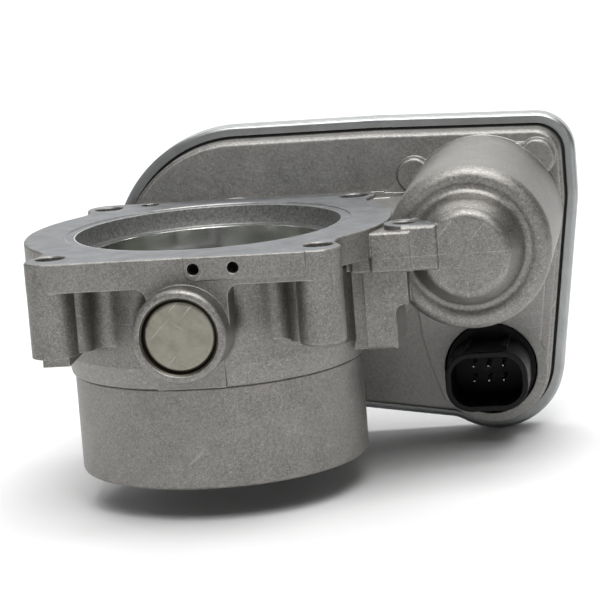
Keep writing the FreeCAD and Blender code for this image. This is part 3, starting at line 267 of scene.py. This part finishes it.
def parting_lines(g, x, y, z):
    """Thin faded lines that the die's parts left on the arm, the dome's disc and the barrel."""
    arm = all_of(g, near(g, z, ARM_LINE_Z, LINE_HALF), near(g, x, ARM_LINE_X, ARM_LINE_REACH),
                 below(g, y, ARM_LINE_BACK_Y))
    disc = all_of(g, near(g, x, MOTOR_X, LINE_HALF), below(g, z, DISC_LINE_TOP_Z),
                  below(g, y, DISC_LINE_BACK_Y))
    on_barrel = below(g, distance(g, x, y, 0.0, 0.0), BARREL_R + 0.0001)
    pocket = all_of(g, near(g, z, POCKET_LINE_Z, LINE_HALF), near(g, x, POCKET_LINE_X, POCKET_LINE_REACH),
                    on_barrel)
    faded = g.between(g.noise(260.0), 0.0, 1.0, 0.38, 0.56)
    return g.math("MULTIPLY", g.math("MAXIMUM", g.math("MAXIMUM", arm, disc), pocket), faded)


def cast_tone(g, mottle, grain):
    """Broad clouds, mottling and fine grain added into one tone."""
    cloud = g.noise(26.0, 3.0, 0.55)
    broad = g.math("ADD", g.math("MULTIPLY", cloud, 0.22), g.math("MULTIPLY", mottle, 0.20))
    return g.math("ADD", broad, g.math("MULTIPLY", grain, 0.58))


def cast_skin(g, y, tone, mottle, edge, lines):
    """The as-cast colour with its flecks, stains, scratches, wear and parting lines, painted light on the
    case's front wall, and the wear's mask.
    """
    fleck = g.noise(2300.0, 2.0, 0.6)
    skin = g.blend(g.between(tone, 0.0, 1.0, 0.36, 0.64), SKIN_DARK, SKIN_LIGHT)
    skin = g.blend(g.between(fleck, 0.0, 0.60, 0.57, 0.74), skin, FLECK_LIGHT)
    skin = g.blend(g.between(fleck, 0.60, 0.0, 0.26, 0.43), skin, FLECK_DARK)
    stain = g.between(g.noise(60.0, 5.0, 0.7), 0.0, 0.20, 0.55, 0.75)
    skin = g.blend(stain, skin, STAIN)
    for turn in (0.45, -0.85):
        stretched = g.turned_scale(turn, (0.06, 1.0, 1.0))
        scratch = g.between(g.noise(620.0, 2.0, 0.5, stretched), 0.0, 0.26, 0.70, 0.76)
        skin = g.blend(scratch, skin, BARE)
    # painted light: the front-facing wall of the gear case is lifted towards a pale tone, where the lamps
    # leave it too dark
    wall = all_of(g, above(g, y, WALL_Y), below(g, g.facing(1), -FACING_LIMIT))
    skin = g.blend(g.math("MULTIPLY", wall, PAINTED_LIGHT_ON_WALL_SHARE), skin, PAINTED_LIGHT_ON_WALL)
    worn = g.math("MULTIPLY", edge, g.between(mottle, 0.12, 0.65, 0.35, 0.6))
    skin = g.blend(worn, skin, WORN_SKIN)
    return g.blend(g.math("MULTIPLY", lines, 0.35), skin, BARE), worn


def machined_face(g, mottle, worn):
    """The milled flange face, with faint straight scratches."""
    scratch = g.noise(700.0, 4.0, 0.7, g.scaled((0.12, 1.0, 1.0)))
    tone = g.between(g.math("ADD", mottle, g.math("MULTIPLY", scratch, 0.6)), 0.0, 1.0, 0.6, 1.0)
    return g.blend(worn, g.blend(tone, FACE_DARK, FACE_LIGHT), WORN_FACE)


def cast_aluminium():
    """Die-cast skin, and the machined flange face, counterbore, ledge and polished throat cut into it, with
    painted shade round the plug's seat.
    """
    g = Graph("cast_aluminium")
    x, y, z = (g.axis(i) for i in range(3))
    edge, soft = g.edges(0.0005)
    mottle = g.noise(150.0, 5.0, 0.65)
    grain = g.noise(1100.0, 4.0, 0.75)
    tone = cast_tone(g, mottle, grain)
    lines = parting_lines(g, x, y, z)
    skin, worn = cast_skin(g, y, tone, mottle, edge, lines)

    radius = distance(g, x, y, 0.0, 0.0)
    level = above(g, g.facing(2), FACING_LIMIT)
    throat = below(g, radius, THROAT_EDGE)
    register = all_of(g, below(g, radius, REGISTER_EDGE), above(g, radius, THROAT_EDGE))
    ledge = all_of(g, register, level)
    faced = all_of(g, level, near(g, z, 0.0, FACE_DEPTH))
    from_shaft = distance(g, x, z, 0.0, SHAFT_Z)
    # painted shade on the bore round the plug, where the gap falls dark
    shaded_plug_seat = all_of(g, below(g, from_shaft, PLUG_EDGE), below(g, y, SEAT_FRONT_Y))

    band = g.blend(g.between(grain, 0.0, 1.0, 0.36, 0.64), BAND_DARK, BAND_LIGHT)
    polished = g.blend(g.between(mottle, 0.0, 1.0, 0.35, 0.65), THROAT_DARK, THROAT_LIGHT)
    colour = g.blend(faced, skin, machined_face(g, mottle, worn))
    colour = g.blend(register, colour, band)
    colour = g.blend(ledge, colour, LEDGE)
    colour = g.blend(throat, colour, polished)
    colour = g.blend(shaded_plug_seat, colour, PAINTED_GAP_SHADE)
    rough = g.between(tone, 0.40, 0.58, 0.36, 0.64)
    for mask, smoothness in ((faced, 0.52), (register, 0.50), (ledge, 0.28), (throat, 0.15)):
        rough = g.mix(mask, rough, smoothness)

    rounded = g.bump(mottle, 0.0010, 0.12, soft)
    pits = g.bump(grain, 0.00014, 0.60, rounded)
    pits = g.bump(lines, 0.00010, 0.50, pits)
    turning_marks = g.math("SINE", g.math("MULTIPLY", radius, MARKS_PER_METRE))
    marks = g.bump(turning_marks, 0.000003, 0.40, soft)
    cut = g.math("MAXIMUM", faced, throat)
    return g.finish(colour, rough, 1.0, g.mix_vector(cut, pits, marks))


def metal(name, dark, light, rough, grain_scale=(1.0, 1.0, 1.0), mottle_scale=160.0, depth=0.00002):
    """A metal with mottling, bright worn edges, and grain that may be drawn out along an axis."""
    g = Graph(name)
    edge, soft = g.edges(0.0003)
    mottle = g.noise(mottle_scale, 4.0, 0.6)
    grain = g.noise(1400.0, 3.0, 0.6, g.scaled(grain_scale))
    colour = g.blend(g.between(mottle, 0.0, 1.0, 0.3, 0.7), dark, light)
    colour = g.blend(g.math("MULTIPLY", edge, 0.5), colour, (0.85, 0.85, 0.84))
    roughness = g.between(grain, rough * 0.8, rough * 1.25, 0.3, 0.7)
    return g.finish(colour, roughness, 1.0, g.bump(grain, depth, 0.5, soft))


def plug_steel():
    """Zinc-plated cup plug: warm grey, with fine scratches and specks, and painted shade in a dark ring at
    its outer edge, where it meets the bore.
    """
    g = Graph("plug_steel")
    x, z = g.axis(0), g.axis(2)
    mottle = g.noise(240.0, 5.0, 0.65)
    specks = g.noise(900.0, 2.0, 0.6)
    colour = g.blend(g.between(mottle, 0.0, 1.0, 0.32, 0.68), (0.235, 0.226, 0.188), (0.33, 0.318, 0.268))
    colour = g.blend(g.between(specks, 0.0, 0.7, 0.66, 0.78), colour, (0.10, 0.095, 0.08))
    for turn in (0.5, -0.8):
        stretched = g.turned_scale(turn, (0.05, 1.0, 1.0))
        scratch = g.between(g.noise(1500.0, 2.0, 0.5, stretched), 0.0, 0.55, 0.66, 0.74)
        colour = g.blend(scratch, colour, (0.60, 0.59, 0.55))
    rim_from, rim_to = PLUG_R - 0.0013, PLUG_R - 0.0008
    # painted shade: the cup's outer edge is darkened where the gap to the bore falls in shadow
    painted_rim_shade = g.between(distance(g, x, z, 0.0, SHAFT_Z), 0.0, 1.0, rim_from, rim_to)
    colour = g.blend(painted_rim_shade, colour, (0.060, 0.054, 0.042))
    roughness = g.mix(painted_rim_shade, g.between(mottle, 0.34, 0.48, 0.3, 0.7), 0.7)
    return g.finish(colour, roughness, 1.0, g.bump(mottle, 0.0003, 0.25))


def plastic(name, dark, light, rough, scale=900.0, gloss=0.5):
    """Moulded plastic with a fine skin and faint handling marks."""
    g = Graph(name)
    soft = g.edges(0.0003)[1]
    grain = g.noise(scale * 2.0, 3.0, 0.6)
    marks = g.noise(120.0, 4.0, 0.65)
    colour = g.blend(g.between(marks, 0.0, 1.0, 0.35, 0.75), dark, light)
    roughness = g.between(marks, rough * 0.85, rough * 1.15, 0.3, 0.7)
    g.shader.inputs["Specular IOR Level"].default_value = gloss
    return g.finish(colour, roughness, 0.0, g.bump(grain, 0.00004, 0.4, soft))


def make_materials():
    """One material for each slot that the record names."""
    return {
        "cast_aluminium": cast_aluminium(),
        "lid_steel": metal("lid_steel", (0.34, 0.35, 0.352), (0.40, 0.41, 0.412), 0.36, depth=0.000006),
        "seal_rubber": plastic("seal_rubber", (0.006, 0.006, 0.006), (0.014, 0.014, 0.014), 0.6,
                               gloss=0.3),
        "plug_steel": plug_steel(),
        "bearing_steel": metal("bearing_steel", (0.60, 0.60, 0.60), (0.70, 0.70, 0.70), 0.14),
        "dark_steel": metal("dark_steel", (0.16, 0.16, 0.17), (0.26, 0.26, 0.27), 0.38),
        "spring_steel": metal("spring_steel", (0.22, 0.22, 0.23), (0.34, 0.34, 0.35), 0.32),
        "plate_steel": metal("plate_steel", (0.22, 0.225, 0.21), (0.32, 0.325, 0.31), 0.30,
                             (1.0, 14.0, 1.0)),
        "shaft_steel": metal("shaft_steel", (0.48, 0.48, 0.49), (0.62, 0.62, 0.63), 0.22,
                             (1.0, 0.06, 1.0)),
        "gear_plastic": plastic("gear_plastic", (0.62, 0.57, 0.45), (0.74, 0.69, 0.56), 0.45),
        "black_plastic": plastic("black_plastic", (0.0025, 0.0025, 0.003), (0.007, 0.007, 0.0073), 0.46,
                                 gloss=0.22),
        "copper": metal("copper", (0.50, 0.20, 0.09), (0.72, 0.34, 0.18), 0.30, (1.0, 0.05, 1.0)),
        "contact_brass": metal("contact_brass", (0.62, 0.46, 0.22), (0.78, 0.62, 0.34), 0.28),
        "pin_tin": metal("pin_tin", (0.46, 0.46, 0.45), (0.66, 0.66, 0.64), 0.26, (1.0, 0.1, 1.0)),
        "magnet_ferrite": plastic("magnet_ferrite", (0.030, 0.030, 0.032), (0.060, 0.060, 0.062), 0.55),
        "carbon": plastic("carbon", (0.015, 0.015, 0.016), (0.035, 0.035, 0.036), 0.5),
        "board_green": plastic("board_green", (0.010, 0.070, 0.030), (0.016, 0.105, 0.046), 0.3),
    }


def dress_nodes(materials):
    """Gives each CAD node the material that the record names for it."""
    for part in frame["record"]["subparts"]:
        obj = frame["nodes"][part["node"]]
        for slot in obj.material_slots:
            slot.material = materials[part["material_slot"]]


# ---------------------------------------------------------------- stage, lights and camera
def backdrop(low):
    """One pale sheet that runs level under the object, bends up behind it and stands as a wall."""
    half_width = 3.0
    front = -2.5
    back = 1.9
    bend = 0.6
    top = 2.2
    steps = 24
    profile = [(front, low)]
    for i in range(steps + 1):
        angle = math.radians(90.0) * i / steps
        profile.append((back - bend + bend * math.sin(angle), low + bend - bend * math.cos(angle)))
    profile.append((back, top))
    mesh = bpy.data.meshes.new("backdrop")
    points = [(side * half_width, y, z) for y, z in profile for side in (-1, 1)]
    strips = [(2 * i, 2 * i + 1, 2 * i + 3, 2 * i + 2) for i in range(len(profile) - 1)]
    mesh.from_pydata(points, [], strips)
    mesh.shade_smooth()
    sheet = bpy.data.objects.new("backdrop", mesh)
    bpy.context.collection.objects.link(sheet)
    g = Graph("backdrop_paper")
    soft = g.noise(2.0, 2.0, 0.5)
    mesh.materials.append(g.finish(g.blend(soft, (0.84, 0.84, 0.84), (0.88, 0.88, 0.88)), 0.8, 0.0))


def area_light(name, place, aim, width, height, power):
    """A flat softbox at a place, turned to face the point that it aims at."""
    data = bpy.data.lights.new(name, "AREA")
    data.shape = "RECTANGLE"
    data.size = width
    data.size_y = height
    data.energy = power
    lamp = bpy.data.objects.new(name, data)
    lamp.location = place
    lamp.rotation_mode = "QUATERNION"
    lamp.rotation_quaternion = (Vector(aim) - Vector(place)).to_track_quat("-Z", "Y")
    bpy.context.collection.objects.link(lamp)


def lights():
    """Soft light from above, in front and the left, one light for the backdrop, and a dim even fill."""
    middle = (0.03, 0.0, -0.03)
    area_light("key_softbox", (0.15, -0.20, 0.75), middle, 0.7, 0.5, 5.0)
    area_light("front_softbox", (0.15, -0.95, 1.10), middle, 0.9, 0.6, 12.0)
    area_light("left_softbox", (-0.90, -0.10, 0.40), middle, 0.5, 0.6, 0.3)
    area_light("wall_light", (0.0, 0.90, 1.40), (0.0, 1.55, 0.0), 2.2, 0.5, 26.0)
    world = bpy.data.worlds.new("studio")
    world.use_nodes = True
    world.node_tree.nodes["Background"].inputs["Color"].default_value = (0.9, 0.9, 0.9, 1.0)
    world.node_tree.nodes["Background"].inputs["Strength"].default_value = 0.22
    bpy.context.scene.world = world
    # the default view transform would turn the pale backdrop grey
    bpy.context.scene.view_settings.view_transform = "Standard"


def camera():
    """The camera at the photograph's viewing angle, turned a little about its own line of sight."""
    away = Vector((-math.sin(AZIMUTH) * math.cos(ELEVATION), math.cos(AZIMUTH) * math.cos(ELEVATION),
                   -math.sin(ELEVATION)))
    level = away.cross(Vector((0.0, 0.0, 1.0))).normalized()
    upright = level.cross(away)
    right = math.cos(ROLL) * level + math.sin(ROLL) * upright
    up = right.cross(away)
    turn = Matrix((right, up, -away)).transposed()
    data = bpy.data.cameras.new("camera")
    data.lens = LENS
    data.sensor_width = 36.0
    data.clip_start = 0.05
    data.clip_end = 20.0
    eye = bpy.data.objects.new("camera", data)
    eye.matrix_world = Matrix.Translation(CAMERA_PLACE) @ turn.to_4x4()
    bpy.context.collection.objects.link(eye)
    bpy.context.scene.camera = eye


dress_nodes(make_materials())
backdrop(cad_low.z - 0.0002)
lights()
camera()
